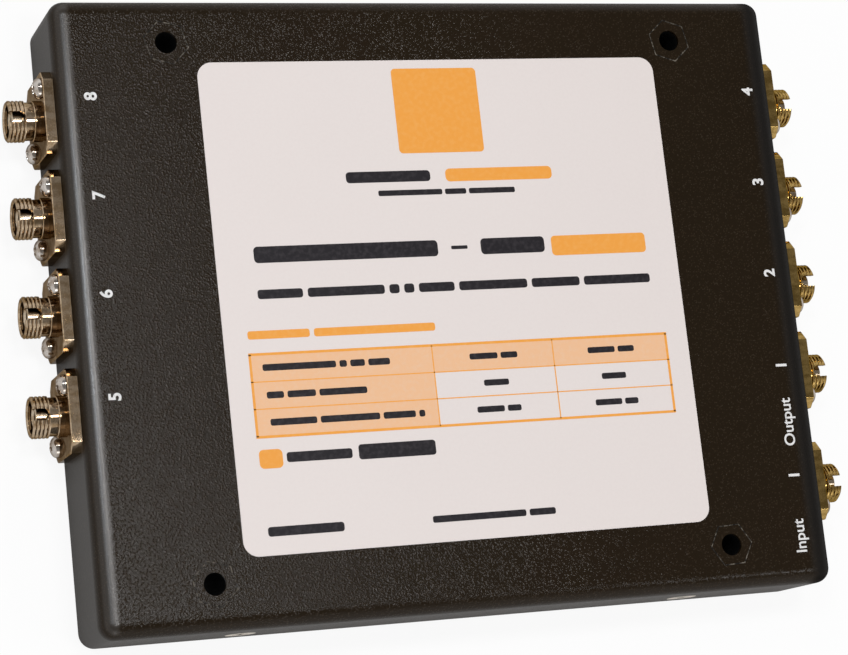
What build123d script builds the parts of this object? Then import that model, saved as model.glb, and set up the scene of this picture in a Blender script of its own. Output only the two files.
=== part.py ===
from build123d import *
import os

os.makedirs("parts", exist_ok=True)

# Fibre optic splitter: a flat sheet-metal box for fixing to a wall, with nine fibre adapters.
# X runs along the long side, Y along the short side, and Z from the wall to the label.
# The origin is the middle of the back. All sizes are in millimetres.

# Case: one pressed cover with four walls, rounded by the same radius on every outer edge
case_length = 150.0
case_width = 121.5
case_height = 20.0
cover_sheet = 1.5
edge_radius = 3.0

# Base: a flat sheet that closes the cover from behind, with a flange inside each long wall
base_sheet = 1.5
base_gap = 0.15
base_flange_height = 11.0
base_flange_setback = 12.0
bend_relief = 1.5
bend_radius = 1.0

# Wall fixing: hollow hexagonal spacers through the base and the cover, flush with both
fixing_inset_x = 22.0
fixing_inset_y = 8.75
fixing_hole_radius = 2.15
spacer_radius = 4.4
spacer_gap = 0.05
spacer_turns = {"rear_left": 46.0, "rear_right": 42.0, "front_left": 43.0, "front_right": 3.0}

# Label: a thin sticker, laid a little out of square by hand
label_margin_x = 27.0
label_margin_y = 13.0
label_thickness = 0.15
label_corner_radius = 3.0
label_offset_x = 0.8
label_offset_y = 0.45
label_turn = 0.33

# Ports: four outputs on each short side, the left ones a little lower, and the input on the right
outputs_per_side = 4
output_pitch = 19.05
right_top_output_y = 40.15
left_top_output_y = 39.55
input_y = -40.0
port_height = 9.6

# Adapter: a square flange on a turned body, with a keyed barrel outside and a longer one inside
flange_size = 16.0
flange_thickness = 2.0
flange_corner_cut = 1.9
barrel_radius = 4.0
barrel_length = 5.9
socket_radius = 3.1
socket_depth = 4.8
key_slot_width = 2.2
key_slot_depth = 2.9
rear_barrel_length = 7.5
barrel_hole_gap = 0.2

# Alignment sleeve: a split ceramic tube that floats in the adapter, halfway along it
sleeve_radius = 1.6
sleeve_bore_radius = 1.25
sleeve_length = 11.4
sleeve_split = 0.5
sleeve_gap = 0.05

# Splitter module: a sealed steel can that splits the light, in two saddles on the base
module_length = 60.0
module_width = 7.0
module_height = 4.0
module_edge_cut = 0.5
saddle_sheet = 0.8
saddle_width = 8.0
saddle_foot = 6.0
saddle_spacing = 34.0
saddle_gap = 0.05

# Sizes and places that follow from the values above
inner_length = case_length - 2 * cover_sheet
inner_width = case_width - 2 * cover_sheet
inner_height = case_height - cover_sheet
inner_corner_radius = edge_radius - cover_sheet
base_length = inner_length - 2 * base_gap
base_width = inner_width - 2 * base_gap
base_flange_length = inner_length - 2 * base_flange_setback
fixing_x = case_length / 2 - fixing_inset_x
fixing_y = case_width / 2 - fixing_inset_y
label_length = case_length - 2 * label_margin_x
label_width = case_width - 2 * label_margin_y
barrel_end = flange_thickness + barrel_length
socket_floor = barrel_end - socket_depth
adapter_middle = (barrel_end - rear_barrel_length) / 2
saddle_half_width = module_width / 2 + saddle_gap
saddle_half_span = saddle_half_width + saddle_sheet + saddle_foot
saddle_ceiling = base_sheet + module_height + saddle_gap

fixing_places = {
    "rear_left": (-fixing_x, fixing_y),
    "rear_right": (fixing_x, fixing_y),
    "front_left": (-fixing_x, -fixing_y),
    "front_right": (fixing_x, -fixing_y),
}

# Each port's side of the case, 1 on the right and -1 on the left, and its place along the wall.
# Outputs are counted from the front towards the rear, first on the right and then on the left.
ports = {"input": (1, input_y)}
for step in range(outputs_per_side):
    below_top = (outputs_per_side - 1 - step) * output_pitch
    ports[f"output_{step + 1}"] = (1, right_top_output_y - below_top)
    ports[f"output_{step + 1 + outputs_per_side}"] = (-1, left_top_output_y - below_top)


def port_plane(side, y):
    """Plane on the outside of a short wall at a port: its normal points out, its y axis up."""
    return Plane(origin=(side * case_length / 2, y, port_height), x_dir=(0, side, 0), z_dir=(side, 0, 0))


def finish(part, name):
    """Names a finished piece, writes it and reports its volume."""
    part.label = name
    export_step(part, f"parts/{name}.step")
    print(name, "volume", round(part.volume, 1))


# Cover: a box with rounded edges, hollowed from below, then pierced for spacers and ports
with BuildPart() as cover:
    with BuildSketch():
        Rectangle(case_length, case_width)
    extrude(amount=case_height)
    upright_edges = cover.edges().filter_by(Axis.Z)
    top_edges = cover.faces().sort_by(Axis.Z)[-1].edges()
    fillet(upright_edges + top_edges, radius=edge_radius)
    with BuildSketch():
        RectangleRounded(inner_length, inner_width, inner_corner_radius)
    extrude(amount=inner_height, mode=Mode.SUBTRACT)
    for corner, place in fixing_places.items():
        with BuildSketch(Plane.XY.offset(inner_height)):
            with Locations(place):
                RegularPolygon(spacer_radius + spacer_gap, 6, rotation=spacer_turns[corner])
        extrude(amount=cover_sheet, mode=Mode.SUBTRACT)
    for side, y in ports.values():
        with BuildSketch(port_plane(side, y)):
            Circle(barrel_radius + barrel_hole_gap)
        extrude(amount=-cover_sheet, mode=Mode.SUBTRACT)
finish(cover.part, "cover")

# Base: a sheet with two upturned flanges, a relief at each end of the bends, and spacer holes
with BuildPart() as base:
    with BuildSketch():
        base_outline = Rectangle(base_length, base_width)
        chamfer(base_outline.vertices(), inner_corner_radius)
        for corner, place in fixing_places.items():
            with Locations(place):
                RegularPolygon(
                    spacer_radius + spacer_gap, 6, rotation=spacer_turns[corner], mode=Mode.SUBTRACT
                )
        relief_x = (base_flange_length + bend_relief) / 2
        with Locations(*[(i * relief_x, j * base_width / 2) for i in (-1, 1) for j in (-1, 1)]):
            Rectangle(bend_relief, 2 * (base_sheet + bend_radius), mode=Mode.SUBTRACT)
    extrude(amount=base_sheet)
    with BuildSketch(Plane.XY.offset(base_sheet)):
        with Locations((0, (base_width - base_sheet) / 2), (0, (base_sheet - base_width) / 2)):
            Rectangle(base_flange_length, base_sheet)
    extrude(amount=base_flange_height - base_sheet)
    inside = base_width / 2 - base_sheet
    seams = base.edges().filter_by(Axis.X).filter_by_position(Axis.Z, base_sheet, base_sheet)
    rear_seam = seams.filter_by_position(Axis.Y, inside, inside)
    front_seam = seams.filter_by_position(Axis.Y, -inside, -inside)
    fillet(rear_seam + front_seam, radius=bend_radius)
finish(base.part, "base")

# Spacers: hexagonal bars with a bore for the wall screw, each at its own angle
for corner, place in fixing_places.items():
    with BuildPart() as spacer:
        with BuildSketch():
            with Locations(place):
                RegularPolygon(spacer_radius, 6, rotation=spacer_turns[corner])
                Circle(fixing_hole_radius, mode=Mode.SUBTRACT)
        extrude(amount=case_height)
    finish(spacer.part, f"spacer_{corner}")

# Label on the face of the cover
label_plane = Plane(origin=(label_offset_x, label_offset_y, case_height)).rotated((0, 0, label_turn))
with BuildPart() as label:
    with BuildSketch(label_plane):
        RectangleRounded(label_length, label_width, label_corner_radius)
    extrude(amount=label_thickness)
finish(label.part, "label")

# Adapters: the flange bears on the wall, and the key slot opens towards the label side
for name, (side, y) in ports.items():
    plane = port_plane(side, y)
    turning_plane = Plane(origin=plane.origin, x_dir=plane.x_dir, z_dir=-plane.y_dir)
    with BuildPart() as adapter:
        with BuildSketch(turning_plane):
            with BuildLine():
                Polyline(
                    (sleeve_radius + sleeve_gap, -rear_barrel_length),
                    (barrel_radius, -rear_barrel_length),
                    (barrel_radius, barrel_end),
                    (socket_radius, barrel_end),
                    (socket_radius, socket_floor),
                    (sleeve_radius + sleeve_gap, socket_floor),
                    close=True,
                )
            make_face()
        revolve(axis=Axis(plane.origin, plane.z_dir))
        with BuildSketch(plane):
            flange_outline = Rectangle(flange_size, flange_size)
            chamfer(flange_outline.vertices(), flange_corner_cut)
            Circle(sleeve_radius + sleeve_gap, mode=Mode.SUBTRACT)
        extrude(amount=flange_thickness)
        with BuildSketch(plane.offset(barrel_end - key_slot_depth)):
            with Locations((0, barrel_radius)):
                Rectangle(key_slot_width, 2 * (barrel_radius - sleeve_radius - sleeve_gap))
        extrude(amount=key_slot_depth, mode=Mode.SUBTRACT)
    finish(adapter.part, f"adapter_{name}")

# Sleeves: tubes slit along their whole length, with the slit turned down, away from the key slot
for name, (side, y) in ports.items():
    plane = port_plane(side, y)
    with BuildPart() as sleeve:
        with BuildSketch(plane.offset(adapter_middle - sleeve_length / 2)):
            Circle(sleeve_radius)
            Circle(sleeve_bore_radius, mode=Mode.SUBTRACT)
            with Locations((0, -sleeve_radius)):
                Rectangle(sleeve_split, 2 * (sleeve_radius - sleeve_bore_radius / 2), mode=Mode.SUBTRACT)
        extrude(amount=sleeve_length)
    finish(sleeve.part, f"sleeve_{name}")

# Splitter module: a closed can with its long edges cut
with BuildPart() as module:
    with BuildSketch(Plane.YZ.offset(-module_length / 2)):
        with Locations((0, base_sheet + module_height / 2)):
            can_outline = Rectangle(module_width, module_height)
            chamfer(can_outline.vertices(), module_edge_cut)
    extrude(amount=module_length)
finish(module.part, "splitter_module")

# Saddles: strips bent over the module, with a foot on the base at each side
for name, x in (("left", -saddle_spacing / 2), ("right", saddle_spacing / 2)):
    with BuildPart() as saddle:
        with BuildSketch(Plane.YZ.offset(x - saddle_width / 2)):
            with BuildLine():
                half_profile = Polyline(
                    (0, saddle_ceiling),
                    (saddle_half_width, saddle_ceiling),
                    (saddle_half_width, base_sheet),
                    (saddle_half_span, base_sheet),
                    (saddle_half_span, base_sheet + saddle_sheet),
                    (saddle_half_width + saddle_sheet, base_sheet + saddle_sheet),
                    (saddle_half_width + saddle_sheet, saddle_ceiling + saddle_sheet),
                    (0, saddle_ceiling + saddle_sheet),
                )
                mirror(half_profile, about=Plane.YZ)
            make_face()
        extrude(amount=saddle_width)
    finish(saddle.part, f"saddle_{name}")
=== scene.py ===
"""Looks of a fibre optic splitter: a flat black wall box with nine threaded ports.

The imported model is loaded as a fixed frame. Each sub-assembly is a class that holds its sizes in
millimetres, works out its surfaces with numpy and dresses them. X runs along the long side, Y
along the short side and Z from the back to the label. The box lies on its back on the floor.
"""

import logging
import math
from dataclasses import dataclass
from enum import Enum
from typing import Any

import bmesh
import bpy
import numpy as np
from mathutils import Matrix, Vector


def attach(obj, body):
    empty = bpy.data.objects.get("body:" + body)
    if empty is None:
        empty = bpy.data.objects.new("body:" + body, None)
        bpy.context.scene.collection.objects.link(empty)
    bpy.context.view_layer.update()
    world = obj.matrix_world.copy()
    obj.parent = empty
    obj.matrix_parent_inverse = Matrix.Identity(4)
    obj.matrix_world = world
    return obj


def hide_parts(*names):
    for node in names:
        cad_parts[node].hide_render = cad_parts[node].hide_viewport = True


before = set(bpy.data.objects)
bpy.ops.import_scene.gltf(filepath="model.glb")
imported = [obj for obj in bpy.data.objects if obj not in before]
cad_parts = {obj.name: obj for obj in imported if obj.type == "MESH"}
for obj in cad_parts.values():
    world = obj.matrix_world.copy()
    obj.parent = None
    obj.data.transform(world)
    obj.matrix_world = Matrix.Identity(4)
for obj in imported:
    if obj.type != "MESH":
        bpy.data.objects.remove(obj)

Colour = tuple[float, float, float]
Settings = dict[str, Any]
MM = 0.001
BODY = "root"
BLACK: Colour = (0.0, 0.0, 0.0)
WHITE: Colour = (1.0, 1.0, 1.0)

# Sizes in millimetres that more than one class needs
HALF_LENGTH = 75.0
FACE = 20.0
PORT_HEIGHT = 9.6
WALL_SCREW_X = (-45.5, 46.8)
WALL_SCREW_Z = 7.0

# Welding: steps in a millimetre that points are rounded to, and the turn in degrees that stays sharp
WELD_STEPS = 1e4
CREASE = 28.0

log = logging.getLogger("splitter")


# Shader expressions


class Term:
    """A number in a material. Operators on it add Math nodes."""

    def __init__(self, tree: "Tree", socket: Any) -> None:
        """Keeps the tree that the number belongs to and the socket it comes from."""
        self.tree = tree
        self.socket = socket

    def _math(self, operation: str, first: Any, second: Any = None) -> "Term":
        """Adds one Math node.

        Args:
            operation: Blender's name of the operation.
            first: a Term or a plain number.
            second: the same, or None where the operation takes one number.

        Returns:
            The result as a Term.
        """
        sockets = {0: first} if second is None else {0: first, 1: second}
        return self.tree.add("ShaderNodeMath", {"operation": operation}, sockets).term(0)

    def __add__(self, other: Any) -> "Term":
        """Self plus other."""
        return self._math("ADD", self, other)

    def __radd__(self, other: Any) -> "Term":
        """Other plus self."""
        return self._math("ADD", other, self)

    def __sub__(self, other: Any) -> "Term":
        """Self minus other."""
        return self._math("SUBTRACT", self, other)

    def __rsub__(self, other: Any) -> "Term":
        """Other minus self."""
        return self._math("SUBTRACT", other, self)

    def __mul__(self, other: Any) -> "Term":
        """Self times other."""
        return self._math("MULTIPLY", self, other)

    def __truediv__(self, other: Any) -> "Term":
        """Self over other."""
        return self._math("DIVIDE", self, other)

    def __abs__(self) -> "Term":
        """Self without its sign."""
        return self._math("ABSOLUTE", self)

    def lesser(self, other: Any) -> "Term":
        """The smaller of self and other."""
        return self._math("MINIMUM", self, other)

    def greater(self, other: Any) -> "Term":
        """The larger of self and other."""
        return self._math("MAXIMUM", self, other)

    def rise(self, low: float, high: float) -> "Term":
        """0 below low, 1 above high, and a smooth step between them."""
        sockets = {"Value": self, "From Min": low, "From Max": high}
        settings = {"interpolation_type": "SMOOTHSTEP"}
        return self.tree.add("ShaderNodeMapRange", settings, sockets).term(0)


class Node:
    """A node that was added to a tree, with its outputs at hand."""

    def __init__(self, tree: "Tree", node: bpy.types.Node) -> None:
        """Keeps the tree and Blender's node."""
        self.tree = tree
        self.node = node

    def out(self, key: str | int) -> Any:
        """The output socket with that name or number."""
        return self.node.outputs[key]

    def term(self, key: str | int) -> Term:
        """The output as a number for expressions."""
        return Term(self.tree, self.node.outputs[key])


class Tree:
    """One material's or world's node tree."""

    def __init__(self, owner: Any) -> None:
        """Empties the tree of a material or a world."""
        owner.use_nodes = True
        self.nodes = owner.node_tree.nodes
        self.links = owner.node_tree.links
        self.nodes.clear()

    def add(self, kind: str, settings: Settings | None = None,
            sockets: dict[Any, Any] | None = None) -> Node:
        """Adds any node.

        Args:
            kind: Blender's name of the node type.
            settings: attributes of the node, which are set first.
            sockets: values or links of its input sockets, by name or number.

        Returns:
            The node that was added.
        """
        node = self.nodes.new(kind)
        for key, value in (settings or {}).items():
            setattr(node, key, value)
        for key, value in (sockets or {}).items():
            source = value.socket if isinstance(value, Term) else value
            if isinstance(source, bpy.types.NodeSocket):
                self.links.new(source, node.inputs[key])
            elif isinstance(source, tuple) and node.inputs[key].type == "RGBA":
                node.inputs[key].default_value = (*source, 1.0)
            else:
                node.inputs[key].default_value = source
        return Node(self, node)

    def place(self, stretch: Colour = WHITE) -> Any:
        """Object coordinates in millimetres, each axis times its own stretch."""
        start = self.add("ShaderNodeTexCoord").out("Object")
        factors = tuple(s / MM for s in stretch)
        return self.add("ShaderNodeVectorMath", {"operation": "MULTIPLY"}, {0: start, 1: factors}).out(0)

    def noise(self, per_mm: float, detail: float = 2.0, stretch: Colour = WHITE) -> Term:
        """Soft noise from 0 to 1.

        Args:
            per_mm: bumps in a millimetre.
            detail: octaves of finer noise.
            stretch: how much each axis counts.

        Returns:
            The noise as a Term.
        """
        sockets = {"Vector": self.place(stretch), "Scale": per_mm, "Detail": detail}
        return self.add("ShaderNodeTexNoise", None, sockets).term(0)

    def cells(self, per_mm: float) -> Term:
        """Distance from the nearest of many scattered points."""
        sockets = {"Vector": self.place(), "Scale": per_mm}
        return self.add("ShaderNodeTexVoronoi", {"feature": "F1"}, sockets).term("Distance")

    def blend(self, factor: Term | float, first: Any, second: Any) -> Any:
        """First colour at factor 0 and second at 1."""
        settings = {"data_type": "RGBA"}
        sockets = {0: factor, 6: first, 7: second}
        return self.add("ShaderNodeMix", settings, sockets).out(2)

    def bump(self, height: Term, depth: float, under: Any = None) -> Any:
        """Normals of a relief.

        Args:
            height: the relief, from 0 to 1.
            depth: how deep it is at 1, in millimetres.
            under: normals of a coarser relief below it.

        Returns:
            The socket with the normals.
        """
        sockets: dict[Any, Any] = {"Strength": 1.0, "Distance": depth * MM, "Height": height}
        if under is not None:
            sockets["Normal"] = under
        return self.add("ShaderNodeBump", None, sockets).out(0)

    def surface(self, **inputs: Any) -> None:
        """Ends the material with one Principled shader.

        Args:
            inputs: its sockets, with an underscore for each space in their names.
        """
        named = {key.replace("_", " "): value for key, value in inputs.items()}
        shader = self.add("ShaderNodeBsdfPrincipled", None, named).out(0)
        self.add("ShaderNodeOutputMaterial", None, {"Surface": shader})


# Finishes


class Finish:
    """A finish that makes its material once."""

    name: str

    def draw(self, tree: Tree) -> None:
        """Fills the tree. Each finish has its own."""
        raise NotImplementedError

    def material(self) -> bpy.types.Material:
        """The finish's material, made at its first use."""
        found = bpy.data.materials.get(self.name)
        if found is None:
            found = bpy.data.materials.new(self.name)
            self.draw(Tree(found))
        return found


@dataclass(frozen=True)
class PowderCoat(Finish):
    """Fine-textured powder coat: small rounded grains that glint, a few of them paler.

    The coat thins over a soft shoulder at each short edge. It is pooled and smooth on the left edge's
    rounding and matt on the right one's, where painted shade darkens that rounding, the top of the wall
    below it and the face beside it. It is duller on the walls than on the face, and a little calmer
    towards the right.
    """

    name: str = "powder_coat"
    deep: Colour = (0.0106, 0.0059, 0.0018)
    grey: Colour = (0.0295, 0.0183, 0.0089)
    fleck: Colour = (0.036, 0.027, 0.018)
    grains_per_mm: float = 4.4
    beads_per_mm: float = 2.2
    grain_share: float = 0.45
    bead_reach: float = 0.6
    fleck_core: tuple[float, float] = (0.1, 0.3)
    fleck_choice: tuple[float, float] = (0.42, 0.62)
    relief: float = 0.082
    roughness: float = 0.12
    shoulder: tuple[float, float] = (71.2, 1.4)
    shoulder_drop: float = 0.05
    calmer: tuple[float, float] = (-10.0, 50.0)
    rounding_foot: tuple[float, float] = (16.5, 17.5)
    wall_top: float = 19.8
    painted_shade_below: float = -1.0

    def draw(self, tree: Tree) -> None:
        """Grain from a noise, beads about scattered points, and the parabola of the shoulder. Below a given
        height, as inside a spacer's bore, the colour fades to black as painted shade.
        """
        grain = tree.noise(self.grains_per_mm)
        broad = tree.noise(0.02)
        distance = tree.cells(self.beads_per_mm)
        beads = 1 - distance.rise(0.0, self.bead_reach)
        height = grain * self.grain_share + beads * (1 - self.grain_share)
        chosen = tree.noise(0.9, 0.0).rise(*self.fleck_choice)
        flecks = (1 - distance.rise(*self.fleck_core)) * chosen
        body = tree.blend(height.rise(0.35, 0.7) * 0.7 + broad * 0.3, self.deep, self.grey)
        coat = tree.blend(flecks, body, self.fleck)
        parts = tree.add("ShaderNodeSeparateXYZ", None, {0: tree.place()})
        x, z = parts.term(0), parts.term(2)
        start, width = self.shoulder
        beyond = ((abs(x) - start) / width).greater(0.0)
        roll = tree.bump(1 - beyond * beyond, self.shoulder_drop)
        wall = 1 - z.rise(self.wall_top - 1.0, self.wall_top)
        pooled = (0 - x).rise(start - 0.2, start + 1.1) * (1 - wall)
        # Painted shade: the right edge's rounding, the top of the right wall and the face beside it are
        # darkened in colour
        painted_shade_right_edge = x.rise(start - 2.0, start + 1.0) * z.rise(*self.rounding_foot)
        # Painted shade: below the given height, as inside a spacer's bore, the colour fades to black
        lit = z.rise(self.painted_shade_below - 0.6, self.painted_shade_below)
        matt = wall * 0.3 + (1 - lit) * 0.4 + painted_shade_right_edge * 0.5
        smoother = (1 - beyond.lesser(1.0) * 0.75) * (1 - x.rise(*self.calmer) * 0.5)
        tree.surface(
            Base_Color=tree.blend(lit * (1 - painted_shade_right_edge * 0.8), BLACK, coat),
            Roughness=self.roughness + grain * 0.08 - flecks * 0.03 + matt,
            Specular_IOR_Level=0.15,
            Coat_Weight=pooled * (0.7 + grain * 0.6),
            Coat_Roughness=0.34,
            Normal=tree.bump(height * smoother, self.relief, roll),
        )


@dataclass(frozen=True)
class Sticker(Finish):
    """Satin paper label with a faint mottle."""

    name: str = "sticker"
    pale: Colour = (0.80, 0.73, 0.70)
    warm: Colour = (0.745, 0.67, 0.645)

    def draw(self, tree: Tree) -> None:
        """A fine mottle over a broad one."""
        mottle = tree.noise(1.6, 3.0)
        broad = tree.noise(0.03)
        tree.surface(
            Base_Color=tree.blend(mottle * 0.6 + broad * 0.4, self.warm, self.pale),
            Roughness=0.42 + mottle * 0.12,
            Specular_IOR_Level=0.4,
            Normal=tree.bump(mottle, 0.004),
        )


@dataclass(frozen=True)
class Ink(Finish):
    """Screen-printed ink, a little uneven in depth."""

    name: str
    full: Colour
    thin: Colour
    roughness: float = 0.42
    gloss: float = 0.15

    def draw(self, tree: Tree) -> None:
        """The ink thins where the noise is low."""
        depth = tree.noise(1.1, 3.0)
        tree.surface(
            Base_Color=tree.blend(depth.rise(0.25, 0.6), self.thin, self.full),
            Roughness=self.roughness + depth * 0.1,
            Specular_IOR_Level=self.gloss,
            Normal=tree.bump(depth, 0.003),
        )


@dataclass(frozen=True)
class Plating(Finish):
    """Polished nickel over turned brass, browner in soft streaks and stains that are painted dark
    reflections.
    """

    name: str
    bright: Colour
    warm: Colour
    roughness: float = 0.05
    grazing: Colour = (0.4, 0.35, 0.3)

    def draw(self, tree: Tree) -> None:
        """Fine rings from the lathe along X, and soft brown streaks with fine stains in them, painted in as
        dark reflections.
        """
        streaks = tree.noise(0.7, 1.0, (0.4, 1.0, 1.0))
        stains = tree.noise(3.5, 1.0)
        rings = tree.noise(1.0, 2.0, (9.0, 0.25, 0.25))
        # Painted reflection: the brown streaks and stains stand in for dark surroundings mirrored in the
        # metal
        painted_reflection = (streaks * 0.65 + stains * 0.35).rise(0.35, 0.65)
        tree.surface(
            Base_Color=tree.blend(painted_reflection, self.bright, self.warm),
            Metallic=1.0,
            Specular_Tint=self.grazing,
            Roughness=self.roughness + rings * 0.05 + painted_reflection * 0.03,
            Normal=tree.bump(rings, 0.003),
        )


@dataclass(frozen=True)
class RolledSteel(Finish):
    """Plain stainless sheet with a grain along X."""

    name: str = "rolled_steel"
    light: Colour = (0.62, 0.62, 0.60)
    dull: Colour = (0.48, 0.48, 0.47)

    def draw(self, tree: Tree) -> None:
        """Long thin streaks."""
        grain = tree.noise(1.0, 3.0, (0.15, 5.0, 5.0))
        tree.surface(
            Base_Color=tree.blend(grain, self.dull, self.light),
            Metallic=1.0,
            Roughness=0.3 + grain * 0.15,
            Normal=tree.bump(grain, 0.004),
        )


@dataclass(frozen=True)
class Ceramic(Finish):
    """White ground ceramic."""

    name: str = "ground_ceramic"
    white: Colour = (0.86, 0.85, 0.82)
    shade: Colour = (0.74, 0.73, 0.70)

    def draw(self, tree: Tree) -> None:
        """A faint grain from grinding."""
        grain = tree.noise(3.0)
        tree.surface(
            Base_Color=tree.blend(grain, self.shade, self.white),
            Roughness=0.28 + grain * 0.1,
            Normal=tree.bump(grain, 0.002),
        )


@dataclass(frozen=True)
class CrossHead(Finish):
    """Bright plated screw head, flush in the wall, with its cross recess coloured dark as painted shade."""

    name: str = "wall_screw"
    arm: float = 0.42
    reach: float = 1.6
    metal: Colour = (0.74, 0.66, 0.56)
    painted_recess_shade: Colour = (0.03, 0.022, 0.012)

    def draw(self, tree: Tree) -> None:
        """The cross is where one distance from the centre is under an arm and the other under its reach."""
        parts = tree.add("ShaderNodeSeparateXYZ", None, {0: tree.place()})
        x, z = parts.term(0), parts.term(2)
        left, right = WALL_SCREW_X
        across = abs(abs(x - (left + right) / 2) - (right - left) / 2)
        up = abs(z - WALL_SCREW_Z)
        thin = 1 - across.lesser(up).rise(self.arm * 0.8, self.arm * 1.1)
        short = 1 - across.greater(up).rise(self.reach * 0.9, self.reach)
        grain = tree.noise(2.5)
        cross = thin * short
        tree.surface(
            # Painted shade: the cross recess is coloured near black, standing in for the shade inside it
            Base_Color=tree.blend(cross, self.metal, self.painted_recess_shade),
            Metallic=1.0,
            Roughness=0.3 + grain * 0.15 + cross * 0.3,
            Normal=tree.bump(grain * 0.2 + (1 - cross), 0.03),
        )


COAT = PowderCoat()
BASE_COAT = PowderCoat(name="base_coat", fleck=(0.1, 0.1, 0.1), relief=0.08)
# Inside the spacers' bores the coat's colour fades to black as painted shade
SPACER_COAT = PowderCoat(name="spacer_coat", painted_shade_below=19.8)
STICKER = Sticker()
ORANGE = Ink("orange_ink", (0.87, 0.36, 0.06), (0.875, 0.39, 0.085))
PEACH = Ink("peach_tint", (0.855, 0.51, 0.295), (0.845, 0.53, 0.33))
BLACK_INK = Ink("black_ink", (0.012, 0.010, 0.013), (0.03, 0.026, 0.03))
WHITE_INK = Ink("white_ink", (0.82, 0.81, 0.80), (0.62, 0.61, 0.60), 0.5)
# One plating in two painted copies: the right-hand copy is warmer and more golden, standing in for warmer
# light on that side; both are darker than bare nickel, standing in for a dark room mirrored in them
NICKEL = Plating("nickel_cool_side", (0.48, 0.37, 0.26), (0.26, 0.175, 0.095))
WARM_SIDE_NICKEL = Plating("nickel_warm_side", (0.45, 0.30, 0.105), (0.23, 0.145, 0.042))
HOLDER_METAL = Plating("holder_metal", (0.5, 0.42, 0.32), (0.3, 0.22, 0.14), 0.12)
SCREW_METAL = Plating("screw_nickel", (0.56, 0.52, 0.48), (0.33, 0.27, 0.22))
WORN_EDGE = Ink("worn_edge", (0.002, 0.0015, 0.001), (0.2, 0.175, 0.14), 0.6)


# Surfaces


class Shell:
    """Gathers grids of points in millimetres and welds them into one mesh."""

    def __init__(self) -> None:
        """Starts with no points and no faces."""
        self.points: list[np.ndarray] = []
        self.faces: list[np.ndarray] = []
        self.count = 0

    def grid(self, points: np.ndarray) -> None:
        """Adds a surface whose point at row i and column j is points[i, j].

        Args:
            points: an array of rows by columns by 3. Each four neighbours make one face.
        """
        rows, columns = points.shape[:2]
        index = self.count + np.arange(rows * columns).reshape(rows, columns)
        corners = (index[:-1, :-1], index[:-1, 1:], index[1:, 1:], index[1:, :-1])
        self.points.append(points.reshape(-1, 3))
        self.faces.append(np.stack([c.ravel() for c in corners], axis=1))
        self.count += rows * columns

    def make(self, name: str, finish: Finish) -> bpy.types.Object:
        """Welds points that coincide, turns the faces outwards and makes the object.

        Args:
            name: the piece's name.
            finish: what it is finished with.

        Returns:
            The object, at the origin, with its place in its mesh.
        """
        points = np.concatenate(self.points)
        faces = np.concatenate(self.faces)
        steps = np.round(points * WELD_STEPS).astype(np.int64)
        _, first, index = np.unique(steps, axis=0, return_index=True, return_inverse=True)
        faces = index.reshape(-1)[faces]
        mesh = bpy.data.meshes.new(name)
        mesh.from_pydata((points[first] * MM).tolist(), [], [])
        build = bmesh.new()
        build.from_mesh(mesh)
        build.verts.ensure_lookup_table()
        for face in faces.tolist():
            ring = list(dict.fromkeys(face))
            if len(ring) > 2 and build.faces.get([build.verts[i] for i in ring]) is None:
                build.faces.new([build.verts[i] for i in ring])
        bmesh.ops.recalc_face_normals(build, faces=build.faces)
        build.to_mesh(mesh)
        build.free()
        mesh.shade_smooth()
        mesh.set_sharp_from_angle(angle=math.radians(CREASE))
        return seat(bpy.data.objects.new(name, mesh), finish)


def link(piece: bpy.types.Object) -> None:
    """Puts an object in the scene."""
    bpy.context.scene.collection.objects.link(piece)


def seat(piece: bpy.types.Object, finish: Finish) -> bpy.types.Object:
    """Puts a finished piece in the scene, on the body.

    Args:
        piece: the object, with its place in its mesh.
        finish: what it is finished with.

    Returns:
        The same object.
    """
    link(piece)
    piece.data.materials.append(finish.material())
    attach(piece, BODY)
    log.info("piece %s: %d faces", piece.name, len(piece.data.polygons))
    return piece


def rounded_outline(half_x: float, half_y: float, radius: float, cut: float = 0.0,
                    steps: int = 5) -> np.ndarray:
    """Outline of a rectangle, with its corners cut and then rounded.

    Each corner of the polygon becomes an arc: its centre lies on the corner's bisector at
    radius / sin(half the corner's angle), and it turns from one side's normal to the next one's.

    Args:
        half_x: half the length.
        half_y: half the width.
        radius: the rounding of each corner.
        cut: how much each corner is cut off at 45 degrees before it is rounded.
        steps: points on each arc.

    Returns:
        The points, anticlockwise, with the first one repeated at the end.
    """
    if cut > 0:
        quarter = [(half_x, half_y - cut), (half_x - cut, half_y)]
        corners = quarter + [(-x, y) for x, y in quarter[::-1]]
        corners += [(-x, -y) for x, y in corners[:]]
    else:
        corners = [(half_x, half_y), (-half_x, half_y), (-half_x, -half_y), (half_x, -half_y)]
    corner = np.array(corners, float)
    before = corner - np.roll(corner, 1, axis=0)
    after = np.roll(corner, -1, axis=0) - corner
    before /= np.linalg.norm(before, axis=1, keepdims=True)
    after /= np.linalg.norm(after, axis=1, keepdims=True)
    inward = after - before
    inward /= np.linalg.norm(inward, axis=1, keepdims=True)
    turn = np.arccos(np.clip(np.sum(before * after, axis=1), -1, 1))
    centre = corner + inward * (radius / np.cos(turn / 2))[:, None]
    start = np.arctan2(-before[:, 0], before[:, 1])
    angle = start[:, None] + turn[:, None] * np.linspace(0, 1, steps)[None, :]
    ring = centre[:, None, :] + radius * np.stack([np.cos(angle), np.sin(angle)], axis=2)
    points = ring.reshape(-1, 2)
    return np.vstack([points, points[:1]])


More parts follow.
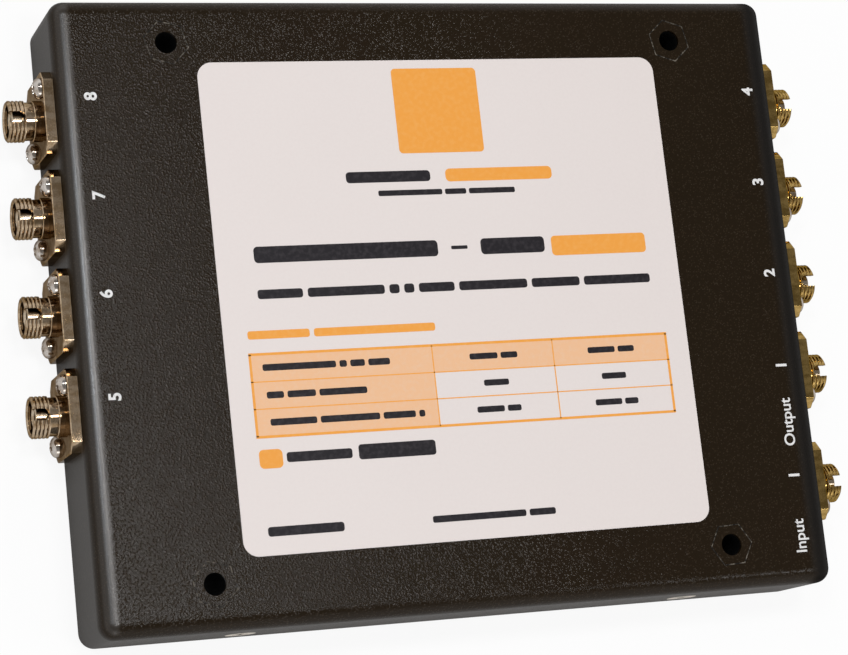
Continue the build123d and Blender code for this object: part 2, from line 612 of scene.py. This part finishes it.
def slab(outline: np.ndarray, low: float, high: float) -> np.ndarray:
    """A flat closed piece over an outline: a fan below, upright sides and a fan on top.

    Args:
        outline: closed points in the plane.
        low: height of the underside.
        high: height of the top.

    Returns:
        A grid of four rows: the middle below, the outline twice, and the middle above.
    """
    middle = np.repeat(outline[:-1].mean(axis=0)[None, :], len(outline), axis=0)
    rings = [(middle, low), (outline, low), (outline, high), (middle, high)]
    return np.stack([np.column_stack([ring, np.full(len(ring), z)]) for ring, z in rings])


# Ports


class Side(Enum):
    """The two short walls of the case."""

    LEFT = -1
    RIGHT = 1


@dataclass(frozen=True)
class PortPlace:
    """Where one port is: its name in the model, its wall and its place along the wall."""

    name: str
    side: Side
    y: float

    def world(self, points: np.ndarray) -> np.ndarray:
        """Turns a port's own points into places on the object.

        Args:
            points: along the wall, up the wall and out from it, in millimetres.

        Returns:
            The same points in X, Y and Z.
        """
        s = self.side.value
        along, up, out = points[..., 0], points[..., 1], points[..., 2]
        return np.stack([s * (HALF_LENGTH + out), self.y + s * along, PORT_HEIGHT + up], axis=-1)


@dataclass(frozen=True)
class Port:
    """A square-flanged adapter with a keyed and threaded barrel, its sleeve holder and two screws."""

    flange_half: float = 8.0
    flange_thick: float = 2.0
    corner_cut: float = 1.9
    corner_round: float = 0.2
    edge_break: float = 0.18
    collar_radius: float = 3.95
    collar_foot: float = 0.5
    collar_end: float = 3.05
    collar_bevel: float = 0.12
    neck_radius: float = 3.68
    neck_end: float = 4.6
    thread_radius: float = 4.0
    thread_pitch: float = 0.75
    thread_depth: float = 0.17
    thread_fades: tuple[float, float] = (0.35, 0.2)
    barrel_end: float = 7.9
    barrel_bevel: float = 0.3
    socket_radius: float = 3.1
    socket_break: float = 0.3
    socket_floor: float = 3.1
    bore_radius: float = 1.65
    rear_end: float = -7.5
    rear_bevel: float = 0.25
    slot_half: float = 1.1
    slot_depth: float = 3.1
    columns: int = 96
    holder_radius: float = 2.3
    holder_bore: float = 1.72
    holder_lip: float = 1.3
    holder_end: float = 7.2
    lip_depth: float = 1.1
    screw_offset: float = 5.05
    screw_radius: float = 2.0
    screw_height: float = 1.5
    screw_foot: float = 0.3
    cross_arm: float = 0.17
    cross_reach: float = 0.56
    cross_depth: float = 0.5

    def flange(self, shell: Shell, place: PortPlace) -> None:
        """Adds the flange: rings of one cut and rounded square, drawn in along its broken front edge."""
        rings = ((0.0, 0.0), (0.0, self.flange_thick - self.edge_break), (self.edge_break, self.flange_thick))
        rows = []
        for inset, out in rings:
            half = self.flange_half - inset
            cut = self.corner_cut - inset * (2 - math.sqrt(2))
            outline = rounded_outline(half, half, self.corner_round, cut, 4)
            rows.append(np.column_stack([outline, np.full(len(outline), out)]))
        middle = np.zeros_like(rows[0])
        front = middle + np.array([0.0, 0.0, self.flange_thick])
        shell.grid(place.world(np.stack([middle, *rows, front])))

    def slot_width(self, out: np.ndarray) -> np.ndarray:
        """Half the key slot's width at each distance out: a half circle, then straight sides."""
        centre = self.barrel_end - self.slot_depth + self.slot_half
        inside = np.clip(self.slot_half**2 - np.minimum(out - centre, 0) ** 2, 0, None)
        return np.sqrt(inside)

    def thread(self, out: np.ndarray, angle: np.ndarray) -> np.ndarray:
        """Depth of the thread's groove: a rounded saw of the height less the turn, faded at both ends."""
        phase = (out / self.thread_pitch - angle / (2 * np.pi)) % 1.0
        wave = np.clip(1.5 * (1 - np.abs(2 * phase - 1)) - 0.5, 0, 1)
        start = np.clip((out - self.neck_end) / self.thread_fades[0], 0, 1)
        end = np.clip((self.barrel_end - self.barrel_bevel - out) / self.thread_fades[1], 0, 1)
        return self.thread_depth * wave * start * end

    def ring(self, radius: np.ndarray, out: np.ndarray) -> np.ndarray:
        """Rows of a turned surface that stops at the key slot's sides.

        The angle runs from the slot's middle. A row starts where the slot's half width over the
        radius is the sine of the angle, and ends at the same angle short of a full turn.

        Args:
            radius: each row's radius, or each point's.
            out: each row's distance out from the wall.

        Returns:
            The points, rows by columns by 3.
        """
        share = np.linspace(0, 1, self.columns + 1)[None, :]
        rows = radius[:, :1] if radius.ndim == 2 else radius[:, None]
        start = np.arcsin(np.clip(self.slot_width(out)[:, None] / rows, 0, 0.99))
        start = np.where(rows < self.socket_radius - 0.01, 0.0, start)
        angle = start + share * (2 * np.pi - 2 * start)
        reach = radius if radius.ndim == 2 else np.repeat(radius[:, None], angle.shape[1], axis=1)
        heights = np.repeat(out[:, None], angle.shape[1], axis=1)
        return np.stack([reach * np.sin(angle), reach * np.cos(angle), heights], axis=-1)

    def body(self, shell: Shell, place: PortPlace) -> None:
        """Adds the turned body as one closed surface, and the walls of its key slot.

        The profile runs up the outside from the rear end, over the collar, the neck and the
        thread, in over the front end, down the socket to its floor, and back through the bore.
        """
        slot_start = self.barrel_end - self.slot_depth
        lift = np.concatenate([
            np.linspace(self.neck_end, slot_start, 3, endpoint=False),
            slot_start + self.slot_half * (1 - np.cos(np.linspace(0, np.pi / 2, 12))),
            np.linspace(slot_start + self.slot_half, self.barrel_end - self.barrel_bevel, 34)[1:],
        ])
        share = np.linspace(0, 1, self.columns + 1)[None, :]
        width = self.slot_width(lift)[:, None]
        start = np.arcsin(np.clip(width / self.thread_radius, 0, 1))
        angle = start + share * (2 * np.pi - 2 * start)
        radius = self.thread_radius - self.thread(lift[:, None], angle)
        radius[0] = self.neck_radius
        threaded = self.ring(radius, lift)

        def turned(profile: list[tuple[float, float]]) -> np.ndarray:
            """Rows of plain radii, from pairs of radius and distance out."""
            pairs = np.array(profile)
            return self.ring(pairs[:, 0], pairs[:, 1])

        bore, socket, rear, front = self.bore_radius, self.socket_radius, self.rear_end, self.barrel_end
        outer, collar = self.thread_radius, self.collar_radius
        back = turned([
            (bore, rear), (outer - self.rear_bevel, rear), (outer, rear + self.rear_bevel), (outer, 0.0),
            (collar, self.collar_foot), (collar, self.collar_end - self.collar_bevel),
            (collar - self.collar_bevel, self.collar_end), (self.neck_radius, self.collar_end + 0.02),
            (self.neck_radius, self.neck_end - 0.05),
        ])
        slotted = lift[lift >= slot_start - 1e-9]
        end = turned([(outer - self.barrel_bevel, front), (socket + self.socket_break, front)])
        inner = self.ring(np.full(len(slotted), socket), slotted[::-1])
        floor = turned([(socket, self.socket_floor), (bore, self.socket_floor), (bore, 0.0), (bore, rear)])
        shell.grid(place.world(np.concatenate([back, threaded, end, inner, floor])))
        outer_edge = np.concatenate([threaded[-len(slotted):], end[:1]])
        inner_edge = np.concatenate([inner[::-1], end[1:]])
        for column in (0, -1):
            walls = np.stack([outer_edge[:, column], inner_edge[:, column]], axis=1)
            shell.grid(place.world(walls))

    def holder(self, place: PortPlace) -> bpy.types.Object:
        """Makes the tube that holds the sleeve: a closed turned profile with a lip in front."""
        bore, outer, lip, end = self.holder_bore, self.holder_radius, self.holder_lip, self.holder_end
        profile = np.array([
            (bore, self.socket_floor), (outer, self.socket_floor), (outer, end - 0.2), (outer - 0.2, end),
            (lip + 0.35, end), (lip, end - 0.4), (lip, end - self.lip_depth), (bore, end - self.lip_depth),
            (bore, self.socket_floor),
        ])
        angle = np.linspace(0, 2 * np.pi, 49)[None, :]
        radius, out = profile[:, :1], np.repeat(profile[:, 1:], angle.shape[1], axis=1)
        points = np.stack([radius * np.sin(angle), radius * np.cos(angle), out], axis=-1)
        shell = Shell()
        shell.grid(place.world(points))
        return shell.make(f"sleeve_holder_{place.name}", HOLDER_METAL)

    def screw(self, shell: Shell, place: PortPlace, along: float, up: float) -> None:
        """Adds a domed screw head.

        The height falls from the middle as the root of one less the radius squared, over a short
        upright rim. Inside the cross, where one coordinate is under an arm's half width and the
        other under its reach, it drops by the recess's depth.

        Args:
            shell: the mesh that it joins.
            place: the port.
            along: the screw's place along the wall, from the port's axis.
            up: the screw's place up the wall, from the port's axis.
        """
        share = np.concatenate([np.linspace(0, 0.95, 22), np.array([1.0])])[:, None]
        angle = np.linspace(0, 2 * np.pi, 73)[None, :]
        x, y = share * np.cos(angle), share * np.sin(angle)
        dome = 0.15 + 0.85 * np.sqrt(np.clip(1 - (0.98 * share) ** 2, 0, 1)) + 0 * angle
        small = np.minimum(np.abs(x), np.abs(y))
        large = np.maximum(np.abs(x), np.abs(y))
        narrow = np.clip((self.cross_arm - small) / 0.06, 0, 1)
        short = np.clip((self.cross_reach - large) / 0.16, 0, 1)
        height = self.screw_height * (dome - self.cross_depth * narrow * short)
        turn = math.radians(20.0 + 13.0 * place.y)
        head = np.stack([
            along + self.screw_radius * (x * math.cos(turn) - y * math.sin(turn)),
            up + self.screw_radius * (x * math.sin(turn) + y * math.cos(turn)),
            self.flange_thick + height,
        ], axis=-1)
        foot = head[-1:].copy()
        foot[..., 2] = self.flange_thick - self.screw_foot
        middle = np.zeros_like(foot) + np.array([along, up, self.flange_thick - self.screw_foot])
        shell.grid(place.world(np.concatenate([head, foot, middle])))

    def build(self, place: PortPlace) -> None:
        """Makes the port's pieces and hides the model's adapter node."""
        # The same adapter sits on both walls; the two finishes are lit copies, warmer on the right as painted
        # light
        finish = NICKEL if place.side is Side.LEFT else WARM_SIDE_NICKEL
        shell = Shell()
        self.flange(shell, place)
        self.body(shell, place)
        adapter = shell.make(f"keyed_adapter_{place.name}", finish)
        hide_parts(f"adapter_{place.name}")
        self.holder(place)
        heads = Shell()
        for sign in (-1, 1):
            self.screw(heads, place, sign * self.screw_offset, -sign * self.screw_offset)
        heads.make(f"flange_screws_{place.name}", SCREW_METAL)


@dataclass(frozen=True)
class PortRows:
    """The rows of ports: four outputs on each short wall and the input on the right."""

    right_top: float = 40.15
    left_top: float = 39.55
    pitch: float = 19.05
    input_y: float = -40.0
    each_side: int = 4

    def places(self) -> list[PortPlace]:
        """All nine places, the input first."""
        found = [PortPlace("input", Side.RIGHT, self.input_y)]
        for step in range(self.each_side):
            below = (self.each_side - 1 - step) * self.pitch
            found.append(PortPlace(f"output_{step + 1}", Side.RIGHT, self.right_top - below))
            left_name = f"output_{step + 1 + self.each_side}"
            found.append(PortPlace(left_name, Side.LEFT, self.left_top - below))
        return found

    def build(self) -> None:
        """Makes every port and dresses the sleeves."""
        port = Port()
        for place in self.places():
            port.build(place)
            dress(f"sleeve_{place.name}", Ceramic())


# Case


def dress(node: str, finish: Finish) -> None:
    """Gives a node of the model its finish."""
    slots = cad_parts[node].data.materials
    slots.clear()
    slots.append(finish.material())
    log.info("node %s: %s", node, finish.name)


@dataclass(frozen=True)
class Case:
    """The cover, the base and what they hold, and the flush screws of the long walls."""

    half_width: float = 60.75
    screw_radius: float = 3.0
    screw_proud: float = 0.02
    screw_hollow: float = 0.012
    screw_round: float = 0.03
    screw_foot: float = 0.4
    spacer_x: float = 53.0
    spacer_y: float = 52.0
    spacer_reach: tuple[float, float] = (4.33, 4.56)
    line_low: float = FACE - 0.03
    line_high: float = FACE + 0.012

    def worn_line(self, shell: Shell, x: float, y: float, turn: float) -> None:
        """Adds the worn joint round a spacer: two hexagons of unlike reach, joined below and on top.

        Args:
            shell: the mesh that it joins.
            x: the spacer's place along the box.
            y: its place across the box.
            turn: the first corner's angle in degrees.
        """
        angle = np.radians(turn) + np.linspace(0, 2 * np.pi, 7)
        low, high = self.line_low, self.line_high
        inner, outer = self.spacer_reach
        rings = [(outer, low), (outer, high), (inner, high), (inner, low), (outer, low)]
        rows = [np.column_stack([x + reach * np.cos(angle), y + reach * np.sin(angle), np.full(7, z)])
                for reach, z in rings]
        shell.grid(np.stack(rows))

    def wall_screw(self, shell: Shell, x: float, side: int) -> None:
        """Adds a flush screw head: a disc whose rim is rounded and whose middle is a little hollow.

        Args:
            shell: the mesh that it joins.
            x: its place along the wall.
            side: 1 on the rear wall and -1 on the front wall.
        """
        share = np.array([0.0, 0.35, 0.7, 0.9, 0.97, 1.0])[:, None]
        angle = np.linspace(0, 2 * np.pi, 65)[None, :]
        rim = np.clip((share - 0.95) / 0.05, 0, 1)
        out = self.screw_proud - self.screw_hollow * (1 - share**2) - self.screw_round * rim**2
        radius = self.screw_radius * share
        points = np.stack([
            x - side * radius * np.cos(angle),
            side * (self.half_width + out) + 0 * angle,
            WALL_SCREW_Z + radius * np.sin(angle),
        ], axis=-1)
        back = points[::-1].copy()
        back[..., 1] = side * (self.half_width - self.screw_foot)
        shell.grid(np.concatenate([points, back]))

    def build(self) -> None:
        """Dresses the case's nodes and makes the wall screws."""
        dress("cover", COAT)
        dress("base", BASE_COAT)
        lines = Shell()
        corners = {"rear_left": (-1, 1, 46.0), "rear_right": (1, 1, 42.0),
                   "front_left": (-1, -1, 43.0), "front_right": (1, -1, 3.0)}
        for corner, (i, j, turn) in corners.items():
            dress(f"spacer_{corner}", SPACER_COAT)
            self.worn_line(lines, i * self.spacer_x, j * self.spacer_y, turn)
        lines.make("worn_spacer_joints", WORN_EDGE)
        for node in ("splitter_module", "saddle_left", "saddle_right"):
            dress(node, RolledSteel())
        for side, wall in ((-1, "front"), (1, "rear")):
            shell = Shell()
            for x in WALL_SCREW_X:
                self.wall_screw(shell, x, side)
            shell.make(f"wall_screws_{wall}", CrossHead())


# Print


class Heading(Enum):
    """The two words that are printed on the cover, both generic."""

    INPUT = "Input"
    OUTPUT = "Output"


@dataclass(frozen=True)
class Mark:
    """One printed word or number: its text and the place of its middle."""

    text: str
    x: float
    y: float


@dataclass(frozen=True)
class CoverPrint:
    """The numbers and words beside the ports. They read along +Y, with their tops towards -X."""

    height: float = 2.4
    font_capital: float = 0.729
    digit_weight: float = 0.03
    word_weight: float = 0.014
    ink_high: float = 0.03
    ink_low: float = -0.05

    def marks(self) -> list[Mark]:
        """Every mark with its place."""
        digits = {
            "8": [(-68.6, 41.5)], "7": [(-68.6, 22.35)], "6": [(-68.8, 3.4)], "5": [(-68.8, -16.1)],
            "4": [(69.4, 41.0)], "3": [(69.15, 21.8)], "2": [(69.05, 2.7)],
            "1": [(69.05, -16.5), (68.75, -39.0)],
        }
        found = [Mark(text, x, y) for text, spots in digits.items() for x, y in spots]
        found.append(Mark(Heading.OUTPUT.value, 68.75, -28.1))
        found.append(Mark(Heading.INPUT.value, 68.25, -51.2))
        return found

    def build(self) -> None:
        """Makes each mark from the built-in font, as thin raised ink."""
        scale = self.height / self.font_capital
        for number, mark in enumerate(self.marks()):
            is_word = len(mark.text) > 1
            curve = bpy.data.curves.new(f"mark_{number}", "FONT")
            curve.body = mark.text
            curve.align_x = "CENTER"
            curve.resolution_u = 5
            curve.offset = self.word_weight if is_word else self.digit_weight
            curve.extrude = 0.004
            text = bpy.data.objects.new("text_form", curve)
            link(text)
            bpy.context.view_layer.update()
            mesh = bpy.data.meshes.new_from_object(text)
            bpy.data.objects.remove(text)
            points = np.zeros(len(mesh.vertices) * 3, np.float32)
            mesh.vertices.foreach_get("co", points)
            points = points.reshape(-1, 3)
            low, high = points.min(axis=0), points.max(axis=0)
            flat = (points[:, :2] - (low + high)[:2] / 2) * scale
            if is_word:
                flat[:, 1] = (points[:, 1] - self.font_capital / 2) * scale
            rise = np.where(points[:, 2] > 0, self.ink_high, self.ink_low)
            placed = np.column_stack([mark.x - flat[:, 1], mark.y + flat[:, 0], FACE + rise]) * MM
            mesh.vertices.foreach_set("co", placed.astype(np.float32).ravel())
            mesh.update()
            word = mark.text.lower() if is_word else f"number_{mark.text}_{number}"
            seat(bpy.data.objects.new(f"print_{word}", mesh), WHITE_INK)


@dataclass(frozen=True)
class Bar:
    """One printed bar: its middle on the label, its length and height, and its corners' rounding."""

    x: float
    y: float
    length: float
    height: float
    rounding: float


@dataclass(frozen=True)
class Label:
    """The sticker and its print: plain fields, bars in place of words, and a bare table."""

    length: float = 96.0
    width: float = 95.5
    corner: float = 3.0
    centre_x: float = 0.8
    centre_y: float = 0.45
    turn: float = 0.33
    sheet_top: float = 20.10
    tint_top: float = 20.12
    ink_top: float = 20.14

    def world(self, points: np.ndarray) -> np.ndarray:
        """Turns places on the label into places on the object."""
        angle = math.radians(self.turn)
        x, y = points[..., 0], points[..., 1]
        return np.stack([
            self.centre_x + x * math.cos(angle) - y * math.sin(angle),
            self.centre_y + x * math.sin(angle) + y * math.cos(angle),
            points[..., 2],
        ], axis=-1)

    def sheet(self) -> bpy.types.Object:
        """The sticker: rings of a rounded rectangle, with its upper edge drawn in."""
        rows = []
        for inset, height in ((0.0, FACE), (0.0, self.sheet_top - 0.03), (0.05, self.sheet_top)):
            half_x, half_y = self.length / 2 - inset, self.width / 2 - inset
            ring = rounded_outline(half_x, half_y, self.corner - inset, 0.0, 14)
            rows.append(np.column_stack([ring, np.full(len(ring), height)]))
        low = np.zeros_like(rows[0]) + np.array([0.0, 0.0, FACE])
        high = np.zeros_like(rows[0]) + np.array([0.0, 0.0, self.sheet_top])
        shell = Shell()
        shell.grid(self.world(np.stack([low, *rows, high])))
        return shell.make("label_sheet", STICKER)

    def bars(self, name: str, bars: list[Bar], finish: Finish, top: float) -> None:
        """Makes one piece of many bars in one ink.

        Args:
            name: the piece's name.
            bars: where they are.
            finish: their ink.
            top: how high they end.
        """
        shell = Shell()
        for bar in bars:
            rounding = min(bar.rounding, 0.49 * min(bar.length, bar.height))
            outline = rounded_outline(bar.length / 2, bar.height / 2, rounding) + np.array([bar.x, bar.y])
            shell.grid(self.world(slab(outline, self.sheet_top - 0.02, top)))
        shell.make(name, finish)

    def words(self, start: float, end: float, y: float, height: float, lengths: list[float]) -> list[Bar]:
        """Bars in place of a line's words, with gaps between them.

        Args:
            start: where the line starts.
            end: where it ends.
            y: its middle.
            height: the bars' height.
            lengths: the words' lengths against each other.

        Returns:
            The bars.
        """
        gap = height * 0.55
        unit = (end - start - gap * (len(lengths) - 1)) / sum(lengths)
        found, x = [], start
        for length in lengths:
            found.append(Bar(x + length * unit / 2, y, length * unit, height, height * 0.3))
            x += length * unit + gap
        return found

    def build(self) -> None:
        """Makes the sticker and its print."""
        sheet = self.sheet()
        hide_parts("label")
        left, right = -43.2, 43.2
        first, second = -6.6, 18.6
        top, middle, lower, bottom = -9.6, -14.9, -20.1, -25.4
        table_x, table_y = (left + right) / 2, (top + bottom) / 2
        tint = [
            Bar(table_x, (top + middle) / 2, right - left, top - middle, 0.05),
            Bar((left + first) / 2, (middle + bottom) / 2, first - left, middle - bottom, 0.05),
        ]
        self.bars("label_tint", tint, PEACH, self.tint_top)
        rules = [Bar(table_x, y, right - left + 0.5, w, 0.05)
                 for y, w in ((top, 0.5), (middle, 0.2), (lower, 0.2), (bottom, 0.5))]
        rules += [Bar(x, table_y, w, top - bottom, 0.05)
                  for x, w in ((left, 0.5), (first, 0.22), (second, 0.22), (right, 0.5))]
        orange = rules + [Bar(0.2, 37.4, 17.8, 17.2, 0.8), Bar(11.6, 24.2, 22.6, 2.6, 0.9)]
        orange += [Bar(31.2, 9.2, 20.4, 4.0, 0.8), Bar(-41.0, -29.6, 4.6, 3.6, 0.9)]
        orange += self.words(-43.2, -5.4, -5.9, 1.6, [7.0, 14.0])
        self.bars("label_orange", orange, ORANGE, self.ink_top)
        dark = [Bar(-11.6, 24.2, 17.4, 2.2, 0.7), Bar(-21.7, 9.6, 37.4, 3.2, 0.8)]
        dark += [Bar(1.5, 9.6, 3.4, 0.7, 0.2), Bar(12.75, 9.6, 13.5, 3.2, 0.8)]
        for line in (
            (-14.0, 14.6, 20.9, 1.1, [9.0, 3.0, 6.6]),
            (-40.4, 41.4, 1.9, 1.8, [4.4, 7.6, 1.0, 1.0, 3.6, 7.0, 5.0, 7.0]),
            (-40.9, -15.4, -12.2, 1.3, [10.0, 1.0, 2.0, 3.0]),
            (-40.6, -20.6, -17.5, 1.3, [2.4, 4.0, 6.8]),
            (-40.4, -9.4, -22.7, 1.3, [6.2, 8.0, 4.4, 0.8]),
        ):
            dark += self.words(*line)
        cells = ((5.0, -12.2, [4.0, 2.4]), (2.6, -17.5, [4.0]), (4.6, -22.7, [4.0, 2.0]))
        for x in (6.0, 31.0):
            for reach, y, lengths in cells:
                dark += self.words(x - reach, x + reach, y, 1.2, lengths)
        dark += [Bar(-31.4, -29.5, 13.0, 1.9, 0.5), Bar(-15.8, -29.4, 15.6, 2.9, 0.6)]
        dark += self.words(-43.0, -28.0, -43.3, 1.8, [14.0])
        dark += self.words(-10.2, 15.2, -43.3, 1.3, [12.0, 3.4])
        self.bars("label_dark", dark, BLACK_INK, self.ink_top)


# Studio


@dataclass(frozen=True)
class Lamp:
    """One soft lamp that faces the origin: its place, width, power and tint."""

    name: str
    place: Colour
    width: float
    power: float
    tint: Colour = WHITE


@dataclass(frozen=True)
class Studio:
    """A pale floor, soft lamps and the camera."""

    eye: Colour = (-0.178964, -0.091701, 0.487511)
    right: Colour = (0.939375, -0.104065, 0.326718)
    down: Colour = (-0.040573, -0.979874, -0.195452)
    ahead: Colour = (0.340482, 0.170347, -0.924691)
    lens: float = 110.87
    sensor: float = 36.0
    floor_half: float = 3.0
    floor_paint: Colour = (0.92, 0.92, 0.92)
    floor_glow: float = 0.9
    floor_mirrored: float = 0.3
    fill: float = 0.34
    ceiling: tuple[float, float] = (0.45, 0.8)
    ceiling_dim: float = 0.7

    def lamps(self) -> list[Lamp]:
        """One overhead, one for a bright band on each row of barrels, a cool key and a front fill."""
        return [
            Lamp("overhead", (-0.04, 0.16, 0.9), 0.14, 2.1, (1.0, 0.98, 0.97)),
            Lamp("left_band", (0.085, -0.1, 0.9), 0.12, 1.4),
            Lamp("right_band", (0.56, -0.35, 0.9), 0.12, 0.6),
            Lamp("key", (-0.38, 0.18, 0.88), 0.14, 1.8, (0.88, 0.94, 1.0)),
            Lamp("front", (-0.1, -0.9, 0.35), 0.3, 0.5),
        ]

    def seen(self, tree: Tree, mirrored: float = 1.0) -> Term:
        """1 for the camera, a share for what metal and glass show, and 0 for light on surfaces.

        Args:
            tree: the material or world that asks.
            mirrored: the share for glossy and transmitted rays.

        Returns:
            The factor.
        """
        path = tree.add("ShaderNodeLightPath")
        through = path.term("Is Glossy Ray") + path.term("Is Transmission Ray")
        return (path.term("Is Camera Ray") + through * mirrored).lesser(1.0)

    def world(self) -> None:
        """A white surround under a dimmer ceiling where it is seen, and a soft even fill as light."""
        world = bpy.data.worlds.new("surround")
        bpy.context.scene.world = world
        tree = Tree(world)
        direction = tree.add("ShaderNodeTexCoord").out("Generated")
        height = tree.add("ShaderNodeSeparateXYZ", None, {0: direction}).term(2)
        dimmer = height.rise(*self.ceiling) * self.ceiling_dim
        strength = self.fill + self.seen(tree) * (1 - self.fill - dimmer)
        shader = tree.add("ShaderNodeBackground", None, {"Color": WHITE, "Strength": strength})
        tree.add("ShaderNodeOutputWorld", None, {"Surface": shader.out(0)})

    def floor(self) -> None:
        """A flat pale floor that keeps the shadow under the box."""
        half = self.floor_half
        corners = [(-half, -half, 0.0), (half, -half, 0.0), (half, half, 0.0), (-half, half, 0.0)]
        mesh = bpy.data.meshes.new("floor")
        mesh.from_pydata(corners, [], [(0, 1, 2, 3)])
        floor = bpy.data.objects.new("floor", mesh)
        link(floor)
        material = bpy.data.materials.new("pale_floor")
        tree = Tree(material)
        paint = tree.add("ShaderNodeBsdfDiffuse", None, {"Color": self.floor_paint})
        glow = tree.add("ShaderNodeEmission", None, {"Color": WHITE, "Strength": 1.0})
        share = self.seen(tree, self.floor_mirrored) * self.floor_glow
        mixed = tree.add("ShaderNodeMixShader", None, {0: share, 1: paint.out(0), 2: glow.out(0)})
        tree.add("ShaderNodeOutputMaterial", None, {"Surface": mixed.out(0)})
        mesh.materials.append(material)

    def camera(self) -> None:
        """The camera, with the place, turn and lens that were fitted to the photograph."""
        data = bpy.data.cameras.new("camera")
        data.lens = self.lens
        data.sensor_width = self.sensor
        data.clip_start, data.clip_end = 0.01, 50.0
        camera = bpy.data.objects.new("camera", data)
        link(camera)
        axes = [Vector(self.right), -Vector(self.down), -Vector(self.ahead)]
        turn = Matrix([[axis[row] for axis in axes] for row in range(3)]).to_4x4()
        camera.matrix_world = Matrix.Translation(self.eye) @ turn
        bpy.context.scene.camera = camera

    def build(self) -> None:
        """Makes the surround, the floor, the lamps and the camera."""
        bpy.context.scene.view_settings.view_transform = "Standard"
        self.world()
        self.floor()
        for lamp in self.lamps():
            data = bpy.data.lights.new(lamp.name, "AREA")
            data.size, data.energy, data.color = lamp.width, lamp.power, lamp.tint
            light = bpy.data.objects.new(lamp.name, data)
            link(light)
            turn = (-Vector(lamp.place)).to_track_quat("-Z", "Y").to_matrix().to_4x4()
            light.matrix_world = Matrix.Translation(lamp.place) @ turn
        self.camera()


def main() -> None:
    """Builds the sub-assemblies in order."""
    logging.basicConfig(level=logging.INFO, format="%(message)s")
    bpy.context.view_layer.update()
    for assembly in (Case(), PortRows(), Label(), CoverPrint(), Studio()):
        assembly.build()
        log.info("built %s", type(assembly).__name__)


if __name__ == "__main__":
    main()
